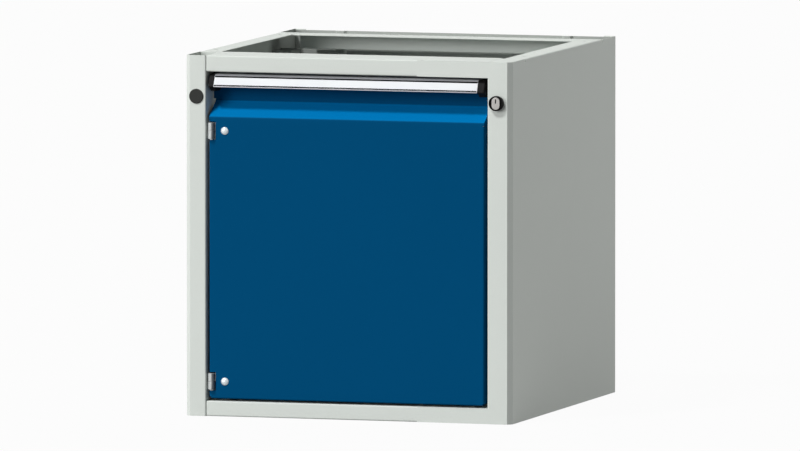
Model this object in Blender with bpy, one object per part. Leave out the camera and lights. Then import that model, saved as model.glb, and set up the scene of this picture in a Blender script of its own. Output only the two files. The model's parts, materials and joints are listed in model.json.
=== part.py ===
"""Under-bench cabinet with one hinged door, modelled as the sheet-metal pieces it is welded from.

Lengths are in metres. Pieces are drawn from the cabinet's corner: X from the left side, Y back from the
front of the uprights, Z up from the floor. The empty named cabinet carries that corner, so that the object
stands centred on the origin. The door and the lock's turning pieces hang on empties on their own axes.
"""

import math

import bmesh
import bpy
from mathutils import Matrix, Vector

for item in list(bpy.data.objects):
    bpy.data.objects.remove(item, do_unlink=True)

# Overall sizes
WIDTH = 0.555
DEPTH = 0.600
HEIGHT = 0.590

# Sheet steel and fits
SHEET = 0.0015
BEND = 0.0025
FRONT_CORNER = 0.0075
RELIEF = 0.003
GAP = 0.0003

# Side panels: folded uprights, top flanges with bench holes, rear flanges
LEFT_UPRIGHT = 0.035
RIGHT_UPRIGHT = 0.041
UPRIGHT_DEPTH = 0.078
TOP_FLANGE = 0.035
REAR_FLANGE = 0.020
BENCH_HOLE = 0.009
BENCH_HOLE_INSET = 0.015
BENCH_HOLE_FRONT = 0.125
BENCH_HOLE_PITCH = 0.350

# Rails across the front and the rear
RAIL_SETBACK = 0.002
TOP_RAIL_HEIGHT = 0.0265
TOP_RAIL_DEPTH = 0.088
TOP_RAIL_LIP = 0.015
STOP_DROP = 0.012
STOP_CLEARANCE = 0.0015
BOTTOM_RAIL_HEIGHT = 0.025
BOTTOM_RAIL_DEPTH = 0.045
BOTTOM_RAIL_FOOT = 0.030
FLOOR_LAP = 0.015
REAR_SPACE = 0.080
REAR_RAIL_DEPTH = 0.046
REAR_RAIL_DROP = 0.025
POST_DEPTH = 0.050
POST_DROP = 0.026

# Back panel with two pressed ribs
BACK_DROP = 0.0015
RIB_INSET = 0.073
RIB_WIDTH = 0.018
RIB_SLOPE = 0.004
RIB_HEIGHT = 0.005
RIB_END = 0.012

# Shelf and the clips that hook into the slotted uprights and posts
SHELF_FLANGE = 0.025
SHELF_SIDE_GAP = 0.002
SHELF_REAR_GAP = 0.035
SHELF_OVERHANG = 0.006
CLIP_WIDTH = 0.010
CLIP_SHEET = 0.0015
CLIP_TONGUE = 0.014
CLIP_LEG = 0.010
CLIP_HOOK = 0.005
CLIP_SETBACK = 0.012
SLOT_HEIGHT = 0.009
SLOT_FIRST = 0.130
SLOT_PITCH = 0.075
SLOT_MARGIN = 0.150
SHELF_STEPS = 2

# Door
DOOR_SHEET = 0.0015
DOOR_SETBACK = 0.004
DOOR_LEFT_GAP = 0.0045
DOOR_RIGHT_GAP = 0.0065
DOOR_BOTTOM_GAP = 0.004
DOOR_TOP_GAP = 0.0035
DOOR_RETURN = 0.020
RETURN_END = 0.006
DOOR_SLIT = 0.001
RECESS_DEPTH = 0.037
RECESS_HEIGHT = 0.046
RAMP_HEIGHT = 0.024
RECESS_SIDE_GAP = 0.001

# Handle profile, end caps and screws
HANDLE_LEAD = 0.005
HANDLE_LEAN = 0.0075
HANDLE_HEIGHT = 0.021
HANDLE_DROP = 0.0005
HANDLE_WALL = 0.002
HANDLE_REAR_WALL = 0.003
HANDLE_LIP = 0.0045
LABEL_CHANNEL = 0.0008
LABEL_LIP = 0.03
LABEL_START = 0.1
LABEL_SHEET = 0.0005
LABEL_END_GAP = 0.001
END_CAP_LEFT = 0.0085
END_CAP_RIGHT = 0.011
END_CAP_DROP = 0.0075
SCREW_RADIUS = 0.002
SCREW_HEAD_RADIUS = 0.0035
SCREW_HEAD_HEIGHT = 0.0025
SCREW_INSET = 0.060

# Lift-off hinges
HINGE_INSET = 0.004
HINGE_PROUD = 0.0005
HINGE_RADIUS = 0.0055
HINGE_LENGTH = 0.026
HINGE_LEAF = 0.002
PIN_RADIUS = 0.002
PIN_HEAD_RADIUS = 0.003
PIN_HEAD_HEIGHT = 0.0015
PIN_CLEARANCE = 0.0002
FRAME_LEAF_LENGTH = 0.034
DOOR_LEAF_LENGTH = 0.042
KNUCKLE_CLEARANCE = 0.0015
NOTCH_CLEARANCE = 0.002
UPPER_HINGE_DROP = 0.023
LOWER_HINGE_RISE = 0.028
BOLT_INSET = 0.0225
BOLT_RADIUS = 0.003
BOLT_HEAD_RADIUS = 0.0065
BOLT_HEAD_HEIGHT = 0.0035
NUT_RADIUS = 0.0058
NUT_HEIGHT = 0.005
RIVET_RADIUS = 0.002
RIVET_HEAD_RADIUS = 0.0035
RIVET_HEAD_HEIGHT = 0.001

# Lock and blanking plug
LOCK_DROP = 0.067
LOCK_INSET = 0.016
LOCK_PROUD = 0.008
COLLAR_RADIUS = 0.01225
COLLAR_ROUND = 0.001
COLLAR_RIM = 0.002
COLLAR_RECESS = 0.003
LOCK_HOLE_RADIUS = 0.0083
LOCK_BODY = 0.030
LOCK_NUT_RADIUS = 0.0115
LOCK_NUT_HEIGHT = 0.004
CORE_RADIUS = 0.0055
FACE_WIDTH = 0.0135
FACE_INSET = 0.0004
KEYHOLE_WIDTH = 0.0018
KEYHOLE_HEIGHT = 0.007
KEYHOLE_DEPTH = 0.0015
KEYHOLE_RISE = 0.0035
TANG = 0.007
PLUG_HEAD = 0.0016
PLUG_STEM = 0.006

# Cranked cam and its keeper on the door
CAM_SHEET = 0.003
CAM_WIDTH = 0.014
CAM_HUB = 0.008
CAM_ENGAGEMENT = 0.008
CAM_CLEARANCE = 0.004
CAM_SLOT_CLEARANCE = 0.003
CRANK_CLEARANCE = 0.010
KEEPER_SHEET = 0.002
KEEPER_CLEARANCE = 0.002
KEEPER_BASE = 0.018
KEEPER_HEIGHT = 0.020

# Facets of round shapes
ROUND_SIDES = 24
HOLE_SIDES = 16
BEND_STEPS = 3
CORNER_STEPS = 1
HEX_SIDES = 6

# Places that follow from the sizes above
inner_left = LEFT_UPRIGHT
inner_right = WIDTH - RIGHT_UPRIGHT
flange_front = UPRIGHT_DEPTH + RELIEF
flange_rear = DEPTH - REAR_SPACE
back_rear = DEPTH - SHEET - GAP
back_front = back_rear - SHEET - RIB_HEIGHT
post_back = flange_rear - SHEET - GAP
post_front = post_back - POST_DEPTH
floor_top = BOTTOM_RAIL_HEIGHT - SHEET - GAP

door_left = inner_left + DOOR_LEFT_GAP
door_right = inner_right - DOOR_RIGHT_GAP
door_bottom = BOTTOM_RAIL_HEIGHT + DOOR_BOTTOM_GAP
door_top = HEIGHT - TOP_RAIL_HEIGHT - DOOR_TOP_GAP
ramp_top = door_top - RECESS_HEIGHT
ramp_bottom = ramp_top - RAMP_HEIGHT
door_back = DOOR_SETBACK + DOOR_SHEET
recess_front = DOOR_SETBACK + RECESS_DEPTH
recess_back = recess_front + DOOR_SHEET

hinge_x = door_left + HINGE_INSET
hinge_y = DOOR_SETBACK - HINGE_PROUD
upper_hinge_z = ramp_bottom - UPPER_HINGE_DROP
lower_hinge_z = door_bottom + LOWER_HINGE_RISE
knuckle_reach = HINGE_RADIUS + KNUCKLE_CLEARANCE

lock_x = inner_right + LOCK_INSET
lock_z = HEIGHT - LOCK_DROP
plug_x = inner_left - LOCK_INSET
cam_front = recess_back + CAM_CLEARANCE
cam_back = cam_front + CAM_SHEET
cam_length = lock_x - door_right + CAM_ENGAGEMENT
hub_front = LOCK_BODY + GAP
hub_back = hub_front + CAM_SHEET

slot_count = int((HEIGHT - SLOT_FIRST - SLOT_MARGIN) / SLOT_PITCH) + 1
slot_heights = [SLOT_FIRST + step * SLOT_PITCH for step in range(slot_count)]
clip_top = slot_heights[SHELF_STEPS] + GAP + CLIP_SHEET
front_clip_y = UPRIGHT_DEPTH - CLIP_SETBACK
rear_clip_y = (post_front + post_back) / 2
slot_half_width = CLIP_WIDTH / 2 + GAP


# Carriers: the cabinet's corner, the door's axis and the lock's axis
def carrier(name, place, parent=None):
    empty = bpy.data.objects.new(name, None)
    empty.location = place
    empty.parent = parent
    bpy.context.collection.objects.link(empty)
    return empty


front_reach = max(LOCK_PROUD, HANDLE_LEAD - DOOR_SETBACK)
cabinet = carrier("cabinet", (-WIDTH / 2, (front_reach - DEPTH) / 2, 0))
door_axis = carrier("door_axis", (hinge_x, hinge_y, 0), cabinet)
lock_axis = carrier("lock_axis", (lock_x, 0, lock_z), cabinet)


# Finishes
def finish(name, colour, roughness, metallic):
    material = bpy.data.materials.new(name)
    material.use_nodes = True
    shader = material.node_tree.nodes["Principled BSDF"]
    shader.inputs["Base Color"].default_value = (*colour, 1)
    shader.inputs["Roughness"].default_value = roughness
    shader.inputs["Metallic"].default_value = metallic
    material.diffuse_color = (*colour, 1)
    return material


LIGHT_GREY = ("light_grey_paint", (0.63, 0.665, 0.63), 0.45, 0)
BLUE = ("blue_paint", (0.0, 0.063, 0.165), 0.4, 0)
ALUMINIUM = ("anodised_aluminium", (0.82, 0.83, 0.85), 0.3, 1)
BLACK = ("black_plastic", (0.03, 0.03, 0.03), 0.5, 0)
ZINC = ("zinc_plated_steel", (0.55, 0.56, 0.57), 0.35, 1)
NICKEL = ("nickel_face", (0.42, 0.41, 0.4), 0.3, 1)
WHITE = ("white_plastic", (0.86, 0.87, 0.92), 0.4, 0)


# Outlines in two dimensions
def arc(centre, radius, start, end, steps):
    angles = [start + (end - start) * step / steps for step in range(steps + 1)]
    return [(centre[0] + radius * math.cos(a), centre[1] + radius * math.sin(a)) for a in angles]


def circle(centre, radius, sides=HOLE_SIDES):
    return arc(centre, radius, 0, 2 * math.pi, sides)[:-1]


def rectangle(low, high):
    return [(low[0], low[1]), (high[0], low[1]), (high[0], high[1]), (low[0], high[1])]


def rounded_corner(before, corner, after, radius, steps):
    """Points of an arc that rounds the corner, tangent to both of its sides."""
    into = (Vector(before) - Vector(corner)).normalized()
    out = (Vector(after) - Vector(corner)).normalized()
    half = math.acos(max(-1, min(1, into.dot(out)))) / 2
    start = Vector(corner) + into * radius / math.tan(half)
    centre = Vector(corner) + (into + out).normalized() * radius / math.sin(half)
    first = start - centre
    turn = math.pi - 2 * half
    if into.x * out.y - into.y * out.x > 0:
        turn = -turn
    return [tuple(centre + Matrix.Rotation(turn * step / steps, 2) @ first) for step in range(steps + 1)]


def outline(corners, steps=BEND_STEPS):
    """A closed outline from (u, v) corners, or (u, v, radius) where the corner is rounded."""
    points = []
    for index, corner in enumerate(corners):
        if len(corner) == 2:
            points.append(corner)
            continue
        before = corners[index - 1][:2]
        after = corners[(index + 1) % len(corners)][:2]
        points += rounded_corner(before, corner[:2], after, corner[2], steps)
    return points


def strip(path, thickness, bend):
    """The closed outline of a folded strip: the path is its outer face, with the metal on the right."""
    headings = [(Vector(b) - Vector(a)).normalized() for a, b in zip(path, path[1:])]
    outer = []
    inner = []
    for index, point in enumerate(path):
        before = headings[max(index - 1, 0)]
        after = headings[min(index, len(headings) - 1)]
        right_before = Vector((before.y, -before.x))
        right_after = Vector((after.y, -after.x))
        shift = (right_before + right_after) * thickness / (1 + right_before.dot(right_after))
        pair = (tuple(point), tuple(Vector(point) + shift))
        turn = before.x * after.y - before.y * after.x
        if abs(turn) > 0.01:
            wide_side = 0 if turn < 0 else 1
            pair = tuple((*p, bend if side == wide_side else bend - thickness) for side, p in enumerate(pair))
        outer.append(pair[0])
        inner.append(pair[1])
    return outline(outer + inner[::-1])


# Solids
PLACES = {
    "X": lambda u, v, w: (w, u, v),
    "Y": lambda u, v, w: (u, w, v),
    "Z": lambda u, v, w: (u, v, w),
}


def prism(shape, axis, start, end):
    """An outline drawn out along an axis: (Y, Z) along X, (X, Z) along Y or (X, Y) along Z."""
    place = PLACES[axis]
    bm = bmesh.new()
    near, far = ([bm.verts.new(place(u, v, w)) for u, v in shape] for w in (start, end))
    bm.faces.new(near)
    bm.faces.new(far)
    for index in range(len(shape)):
        after = (index + 1) % len(shape)
        bm.faces.new((near[index], near[after], far[after], far[index]))
    bmesh.ops.recalc_face_normals(bm, faces=bm.faces)
    return bm


def turned(profile, axis, centre, sides=ROUND_SIDES):
    """A solid of revolution: the profile holds (radius, place along the axis)."""
    bm = bmesh.new()
    verts = [bm.verts.new((radius, 0, height)) for radius, height in profile]
    pairs = list(zip(verts, verts[1:] + verts[:1]))
    edges = [bm.edges.new(pair) for pair in pairs if max(v.co.x for v in pair) > 0]
    bmesh.ops.spin(bm, geom=verts + edges, axis=(0, 0, 1), angle=2 * math.pi, steps=sides, use_merge=True)
    bmesh.ops.remove_doubles(bm, verts=bm.verts, dist=1e-6)
    bmesh.ops.recalc_face_normals(bm, faces=bm.faces)
    turns = {"X": Matrix.Rotation(math.pi / 2, 4, "Y"), "Y": Matrix.Rotation(-math.pi / 2, 4, "X")}
    bm.transform(Matrix.Translation(PLACES[axis](*centre, 0)) @ turns.get(axis, Matrix.Identity(4)))
    return bm


def folded_sheet(faces, wide_bend=None):
    """A sheet's outer face from (corners, outward direction) pairs, with every fold rounded."""
    bm = bmesh.new()
    for corners, outward in faces:
        face = bm.faces.new([bm.verts.new(corner) for corner in corners])
        face.normal_update()
        if face.normal.dot(Vector(outward)) < 0:
            face.normal_flip()
    bmesh.ops.remove_doubles(bm, verts=bm.verts, dist=1e-6)
    wide = []
    plain = []
    for edge in bm.edges:
        if not edge.is_boundary:
            is_wide = wide_bend and all((v.co.xy - Vector(wide_bend)).length < BEND for v in edge.verts)
            (wide if is_wide else plain).append(edge)
    bmesh.ops.bevel(bm, geom=plain, offset=BEND, segments=BEND_STEPS, profile=0.5, affect="EDGES")
    wide = [edge for edge in wide if edge.is_valid]
    if wide:
        bmesh.ops.bevel(
            bm, geom=wide, offset=FRONT_CORNER, segments=CORNER_STEPS, profile=0.5, affect="EDGES"
        )
    return bm


def together(*parts):
    whole = bmesh.new()
    for part in parts:
        mesh = bpy.data.meshes.new("part")
        part.to_mesh(mesh)
        part.free()
        whole.from_mesh(mesh)
        bpy.data.meshes.remove(mesh)
    return whole


# Objects
def link(name, bm, parent):
    """An object whose origin is its carrier's, made from a shape drawn from the cabinet's corner."""
    if parent != cabinet:
        bm.transform(Matrix.Translation(-parent.location))
    mesh = bpy.data.meshes.new(name)
    bm.to_mesh(mesh)
    bm.free()
    mesh.shade_smooth()
    mesh.set_sharp_from_angle(angle=math.radians(35))
    piece = bpy.data.objects.new(name, mesh)
    piece.parent = parent
    bpy.context.collection.objects.link(piece)
    return piece


def add(name, bm, look, parent=cabinet):
    piece = link(name, bm, parent)
    piece.data.materials.append(finish(name, *look[1:]))
    return piece


def combine(piece, bm, operation):
    other = link(f"{piece.name}_{operation.lower()}", bm, piece.parent)
    other.hide_render = True
    other.display_type = "WIRE"
    modifier = piece.modifiers.new(operation.lower(), "BOOLEAN")
    modifier.operation = operation
    modifier.solver = "EXACT"
    modifier.object = other


def cut(piece, *shapes):
    combine(piece, together(*shapes), "DIFFERENCE")


def thicken(piece, thickness):
    modifier = piece.modifiers.new("sheet", "SOLIDIFY")
    modifier.thickness = thickness
    modifier.offset = -1
    modifier.use_even_offset = True


# Side panels
def slots(face_x, y):
    """Cutters for the shelf slots in a wall that stands square to X."""
    low, high = y - slot_half_width, y + slot_half_width
    reach = 2 * SHEET
    return [
        prism(rectangle((low, z), (high, z + SLOT_HEIGHT)), "X", face_x - reach, face_x + reach)
        for z in slot_heights
    ]


def side_panel(name, upright, mirrored):
    """One folded sheet: rear flange, side wall, front upright with its box column, top flange."""

    def at(x, y, z):
        return (WIDTH - x if mirrored else x, y, z)

    def along(vector):
        return (-vector[0] if mirrored else vector[0], *vector[1:])

    def upright_face(start, end, outward):
        return ([at(*start, 0), at(*end, 0), at(*end, HEIGHT), at(*start, HEIGHT)], along(outward))

    notch = HEIGHT - BEND - RELIEF
    wall = [(0, 0), (DEPTH, 0), (DEPTH, HEIGHT)]
    wall += [(flange_rear + RELIEF, HEIGHT), (flange_rear + RELIEF, notch)]
    wall += [(flange_rear, notch), (flange_rear, HEIGHT)]
    wall += [(flange_front, HEIGHT), (flange_front, notch)]
    wall += [(flange_front - RELIEF, notch), (flange_front - RELIEF, HEIGHT), (0, HEIGHT)]
    flange = [(0, flange_front), (0, flange_rear), (TOP_FLANGE, flange_rear), (TOP_FLANGE, flange_front)]
    faces = [
        ([at(0, y, z) for y, z in wall], along((-1, 0, 0))),
        ([at(x, y, HEIGHT) for x, y in flange], along((0, 0, 1))),
        upright_face((REAR_FLANGE, DEPTH), (0, DEPTH), (0, 1, 0)),
        upright_face((0, 0), (upright, 0), (0, -1, 0)),
        upright_face((upright, 0), (upright, UPRIGHT_DEPTH), (1, 0, 0)),
        upright_face((upright, UPRIGHT_DEPTH), (SHEET + GAP, UPRIGHT_DEPTH), (0, 1, 0)),
    ]
    panel = add(name, folded_sheet(faces, at(0, 0, 0)[:2]), LIGHT_GREY)
    thicken(panel, SHEET)
    bench_holes = [
        prism(circle(at(BENCH_HOLE_INSET, y, 0)[:2], BENCH_HOLE / 2), "Z", HEIGHT - 2 * SHEET, HEIGHT + SHEET)
        for y in (BENCH_HOLE_FRONT, BENCH_HOLE_FRONT + BENCH_HOLE_PITCH)
    ]
    return panel, bench_holes + slots(at(upright, 0, 0)[0], front_clip_y)


def front_hole(x):
    return prism(circle((x, lock_z), LOCK_HOLE_RADIUS, ROUND_SIDES), "Y", -SHEET, 2 * SHEET)


def rivet_places():
    """(Y, Z) of the rivets that hold the frame leaves to the left upright."""
    start = hinge_y + HINGE_RADIUS
    length = FRAME_LEAF_LENGTH - HINGE_RADIUS
    steps = {"front": 0.4, "rear": 0.8}
    hinges = {"upper": upper_hinge_z, "lower": lower_hinge_z}
    return {
        f"{hinge}_{end}": (start + length * share, z)
        for hinge, z in hinges.items()
        for end, share in steps.items()
    }


left_panel, left_cuts = side_panel("left_side_panel", LEFT_UPRIGHT, False)
left_cuts.append(front_hole(plug_x))
for spot in rivet_places().values():
    hole = circle(spot, RIVET_RADIUS + GAP, HOLE_SIDES)
    left_cuts.append(prism(hole, "X", inner_left - 2 * SHEET, inner_left + SHEET))
cut(left_panel, *left_cuts)

right_panel, right_cuts = side_panel("right_side_panel", RIGHT_UPRIGHT, True)
right_cuts.append(front_hole(lock_x))
cam_reach = math.hypot(cam_length, CAM_WIDTH / 2)
cam_sweep = math.sqrt(cam_reach**2 - (lock_x - inner_right - SHEET) ** 2)
cam_slot = rectangle(
    (cam_front - CRANK_CLEARANCE, lock_z - cam_sweep - CAM_SLOT_CLEARANCE),
    (cam_back + CAM_SLOT_CLEARANCE, lock_z + CAM_WIDTH / 2 + CAM_SLOT_CLEARANCE),
)
right_cuts.append(prism(cam_slot, "X", inner_right - SHEET, inner_right + 2 * SHEET))
cut(right_panel, *right_cuts)

# Plate that closes the lock's column at the top
column_cap = rectangle(
    (inner_right + SHEET + GAP, SHEET + GAP),
    (WIDTH - SHEET - GAP, UPRIGHT_DEPTH - SHEET - GAP),
)
cap_corners = [(*corner, FRONT_CORNER) for corner in column_cap]
add("lock_column_cap", prism(outline(cap_corners, CORNER_STEPS), "Z", HEIGHT - SHEET, HEIGHT), LIGHT_GREY)

# Front rails between the uprights, the top one with a lip that stops the door
rail_left = inner_left + GAP
rail_right = inner_right - GAP
stop_y = recess_back + STOP_CLEARANCE
rail_underside = HEIGHT - TOP_RAIL_HEIGHT
top_rail_path = [
    (stop_y, rail_underside - STOP_DROP),
    (stop_y, rail_underside),
    (RAIL_SETBACK, rail_underside),
    (RAIL_SETBACK, HEIGHT),
    (TOP_RAIL_DEPTH, HEIGHT),
    (TOP_RAIL_DEPTH, HEIGHT - TOP_RAIL_LIP),
]
add("top_front_rail", prism(strip(top_rail_path, SHEET, BEND), "X", rail_left, rail_right), LIGHT_GREY)

bottom_rail_path = [
    (BOTTOM_RAIL_FOOT, 0),
    (RAIL_SETBACK, 0),
    (RAIL_SETBACK, BOTTOM_RAIL_HEIGHT),
    (BOTTOM_RAIL_DEPTH, BOTTOM_RAIL_HEIGHT),
]
add("bottom_front_rail", prism(strip(bottom_rail_path, SHEET, BEND), "X", rail_left, rail_right), LIGHT_GREY)

# Rear top rail: a flange for the bench, a web, and a ledge back to the back panel; slotted posts under it
rear_rail_path = [
    (flange_rear - REAR_RAIL_DEPTH, HEIGHT),
    (flange_rear, HEIGHT),
    (flange_rear, HEIGHT - REAR_RAIL_DROP),
    (back_front - GAP, HEIGHT - REAR_RAIL_DROP),
]
rear_rail = strip(rear_rail_path, SHEET, BEND)
add("rear_top_rail", prism(rear_rail, "X", TOP_FLANGE + GAP, WIDTH - TOP_FLANGE - GAP), LIGHT_GREY)


def rear_post(name, upright, mirrored):
    def x_at(x):
        return WIDTH - x if mirrored else x

    wall_x = x_at(SHEET + GAP)
    face_x = x_at(upright)
    path = [(wall_x, post_back), (face_x, post_back), (face_x, post_front), (wall_x, post_front)]
    if mirrored:
        path.reverse()
    shape = strip(path, SHEET, BEND)
    post = add(name, prism(shape, "Z", floor_top + GAP, HEIGHT - POST_DROP), LIGHT_GREY)
    cut(post, *slots(face_x, rear_clip_y))


rear_post("rear_left_post", LEFT_UPRIGHT, False)
rear_post("rear_right_post", RIGHT_UPRIGHT, True)

# Floor: a sheet notched round the front columns, with a skirt down to the ground
skirt_left = BEND + GAP
skirt_right = WIDTH - BEND - GAP
floor_front = BOTTOM_RAIL_DEPTH - FLOOR_LAP
floor_step = UPRIGHT_DEPTH + GAP
floor_rear = back_front - GAP
floor_plan = [
    (rail_left, floor_front),
    (rail_right, floor_front),
    (rail_right, floor_step),
    (skirt_right, floor_step),
    (skirt_right, floor_rear - RELIEF),
    (skirt_right - RELIEF, floor_rear - RELIEF),
    (skirt_right - RELIEF, floor_rear),
    (skirt_left + RELIEF, floor_rear),
    (skirt_left + RELIEF, floor_rear - RELIEF),
    (skirt_left, floor_rear - RELIEF),
    (skirt_left, floor_step),
    (rail_left, floor_step),
]


def skirt(start, end, outward):
    return ([(*start, floor_top), (*end, floor_top), (*end, 0), (*start, 0)], outward)


floor_faces = [
    ([(x, y, floor_top) for x, y in floor_plan], (0, 0, 1)),
    skirt((skirt_left, floor_step), (skirt_left, floor_rear - RELIEF), (-1, 0, 0)),
    skirt((skirt_right, floor_step), (skirt_right, floor_rear - RELIEF), (1, 0, 0)),
    skirt((skirt_left + RELIEF, floor_rear), (skirt_right - RELIEF, floor_rear), (0, 1, 0)),
]
floor = add("floor_panel", folded_sheet(floor_faces), LIGHT_GREY)
thicken(floor, SHEET)

# Back panel inside the rear flanges, with a pressed rib near each side


def rib(start):
    """Plan points of a rib that is pressed in towards the front, from left to right."""
    inside = back_rear - RIB_HEIGHT
    return [
        (start, back_rear),
        (start + RIB_SLOPE, inside),
        (start + RIB_WIDTH - RIB_SLOPE, inside),
        (start + RIB_WIDTH, back_rear),
    ]


back_path = [(skirt_left, back_rear), *rib(RIB_INSET)]
back_path += [*rib(WIDTH - RIB_INSET - RIB_WIDTH), (skirt_right, back_rear)]
back_top = HEIGHT - BACK_DROP
back = add("back_panel", prism(strip(back_path, SHEET, BEND), "Z", 0, back_top), LIGHT_GREY)
for start in (RIB_INSET, WIDTH - RIB_INSET - RIB_WIDTH):
    lap = SHEET / 2
    floor_y = back_rear - RIB_HEIGHT - lap
    rib_end = [
        (start - lap, back_rear - GAP),
        (start + RIB_SLOPE - lap, floor_y),
        (start + RIB_WIDTH - RIB_SLOPE + lap, floor_y),
        (start + RIB_WIDTH + lap, back_rear - GAP),
    ]
    combine(back, prism(rib_end, "Z", back_top - RIB_END, back_top), "UNION")

# Shelf: a tray with four turned-down edges, and the clips that carry it
shelf_left = inner_left + SHELF_SIDE_GAP
shelf_right = inner_right - SHELF_SIDE_GAP
shelf_front = front_clip_y - CLIP_WIDTH / 2 - SHELF_OVERHANG
shelf_rear = back_front - SHELF_REAR_GAP
shelf_underside = clip_top + GAP
shelf_top = shelf_underside + SHELF_FLANGE
shelf_plan = rectangle((shelf_left, shelf_front), (shelf_right, shelf_rear))
shelf_faces = [([(*corner, shelf_top) for corner in shelf_plan], (0, 0, 1))]
for index, outward in enumerate([(0, -1, 0), (1, 0, 0), (0, 1, 0), (-1, 0, 0)]):
    start = shelf_plan[index]
    end = shelf_plan[(index + 1) % len(shelf_plan)]
    edge = [(*start, shelf_underside), (*end, shelf_underside), (*end, shelf_top), (*start, shelf_top)]
    shelf_faces.append((edge, outward))
shelf = add("shelf", folded_sheet(shelf_faces), LIGHT_GREY)
thicken(shelf, SHEET)


def shelf_clip(name, face_x, inward, y):
    """A clip whose hook stands behind the slotted wall and whose tongue carries the shelf."""
    bottom = clip_top - CLIP_SHEET
    behind = -SHEET - GAP
    profile = [
        (behind - CLIP_SHEET, clip_top + CLIP_HOOK),
        (behind - CLIP_SHEET, bottom),
        (GAP, bottom),
        (GAP, bottom - CLIP_LEG),
        (GAP + CLIP_SHEET, bottom - CLIP_LEG),
        (GAP + CLIP_SHEET, bottom),
        (CLIP_TONGUE, bottom),
        (CLIP_TONGUE, clip_top),
        (behind, clip_top),
        (behind, clip_top + CLIP_HOOK),
    ]
    placed = [(face_x + inward * u, v) for u, v in profile]
    add(name, prism(placed, "Y", y - CLIP_WIDTH / 2, y + CLIP_WIDTH / 2), ZINC)


for end, clip_y in (("front", front_clip_y), ("rear", rear_clip_y)):
    shelf_clip(f"shelf_clip_{end}_left", inner_left, 1, clip_y)
    shelf_clip(f"shelf_clip_{end}_right", inner_right, -1, clip_y)

# Door panel: front, ramp and recess wall in one sheet, with turned edges and hinge notches
return_top = ramp_bottom - RETURN_END
return_bottom = door_bottom + RELIEF
return_back = DOOR_SETBACK + DOOR_RETURN


def door_edge(x, inward):
    """Corners of the front's side edge from the bottom up, with a slit at each end of the fold."""
    return [
        (x + inward * RELIEF, door_bottom),
        (x + inward * RELIEF, return_bottom),
        (x, return_bottom),
        (x, return_top),
        (x + inward * RELIEF, return_top),
        (x + inward * RELIEF, return_top + DOOR_SLIT),
        (x, return_top + DOOR_SLIT),
        (x, ramp_bottom),
    ]


def across(start, end):
    """A full-width face between two (Y, Z) lines."""
    return [(door_left, *start), (door_right, *start), (door_right, *end), (door_left, *end)]


def recess_wall():
    """The wall behind the handle, which runs on at the left as far as the upright."""
    step = ramp_top + RELIEF
    wall_left = inner_left + RECESS_SIDE_GAP
    corners = [
        (door_left, ramp_top),
        (door_right, ramp_top),
        (door_right, door_top),
        (wall_left, door_top),
        (wall_left, step),
        (door_left, step),
    ]
    return [(x, recess_front, z) for x, z in corners]


def under_ramp(y):
    """Height of the line that the side returns follow, a little under the ramp."""
    return ramp_bottom - RELIEF + (y - DOOR_SETBACK - RELIEF) * RAMP_HEIGHT / RECESS_DEPTH


def side_return(x):
    """A return with a wing that rises under the ramp as far as the recess wall."""
    wing_front = DOOR_SETBACK + BEND + RELIEF
    corners = [
        (DOOR_SETBACK, return_bottom),
        (DOOR_SETBACK, return_top),
        (wing_front, return_top),
        (wing_front, under_ramp(wing_front)),
        (recess_front, under_ramp(recess_front)),
        (recess_front, return_top),
        (return_back, return_top - RECESS_DEPTH),
        (return_back, return_bottom),
    ]
    return [(x, y, z) for y, z in corners]


front_face = door_edge(door_right, -1) + door_edge(door_left, 1)[::-1]
bottom_return = rectangle(
    (door_left + RELIEF, DOOR_SETBACK),
    (door_right - RELIEF, return_back),
)
door_faces = [
    ([(x, DOOR_SETBACK, z) for x, z in front_face], (0, -1, 0)),
    (across((DOOR_SETBACK, ramp_bottom), (recess_front, ramp_top)), (0, -1, 1)),
    (recess_wall(), (0, -1, 0)),
    ([(x, y, door_bottom) for x, y in bottom_return], (0, 0, -1)),
    (side_return(door_left), (-1, 0, 0)),
    (side_return(door_right), (1, 0, 0)),
]
door = add("door_panel", folded_sheet(door_faces), BLUE, door_axis)
thicken(door, DOOR_SHEET)

screw_z = door_top - HANDLE_DROP - HANDLE_HEIGHT * 0.6
screw_places = {
    "left": door_left + SCREW_INSET,
    "middle": (door_left + door_right) / 2,
    "right": door_right - SCREW_INSET,
}
door_cuts = [
    prism(circle((x, screw_z), SCREW_RADIUS + GAP), "Y", recess_front - DOOR_SHEET, recess_back + DOOR_SHEET)
    for x in screw_places.values()
]
hinge_heights = {"upper": upper_hinge_z, "lower": lower_hinge_z}
bolt_x = hinge_x + BOLT_INSET
for hinge_z in hinge_heights.values():
    half = HINGE_LENGTH / 2 + NOTCH_CLEARANCE
    notch = rectangle((door_left - BEND, hinge_z - half), (hinge_x + knuckle_reach, hinge_z + half))
    door_cuts.append(prism(notch, "Y", 0, return_back + DOOR_SHEET))
    door_cuts.append(prism(circle((bolt_x, hinge_z), BOLT_RADIUS + GAP), "Y", 0, door_back + DOOR_SHEET))
cut(door, *door_cuts)

# Handle: an aluminium profile that the fingers reach behind from below
handle_rear = recess_front - GAP
handle_top = door_top - HANDLE_DROP
handle_bottom = handle_top - HANDLE_HEIGHT
handle_front = DOOR_SETBACK - HANDLE_LEAD
handle_brow = handle_front + HANDLE_LEAN
handle_left = door_left + END_CAP_LEFT
handle_right = door_right - END_CAP_RIGHT
rear_wall_bottom = screw_z - SCREW_HEAD_RADIUS - HANDLE_WALL
brow_z = handle_top - HANDLE_WALL * 2
lip_z = handle_bottom + HANDLE_WALL


def on_face(share, depth=0):
    """A point on the slanted face, from its lip (0) to its brow (1), sunk in by a depth."""
    y = handle_front + HANDLE_LEAN * share
    z = lip_z + (brow_z - lip_z) * share
    lean = math.atan2(HANDLE_LEAN, brow_z - lip_z)
    return (y + depth * math.cos(lean), z - depth * math.sin(lean))


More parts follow.
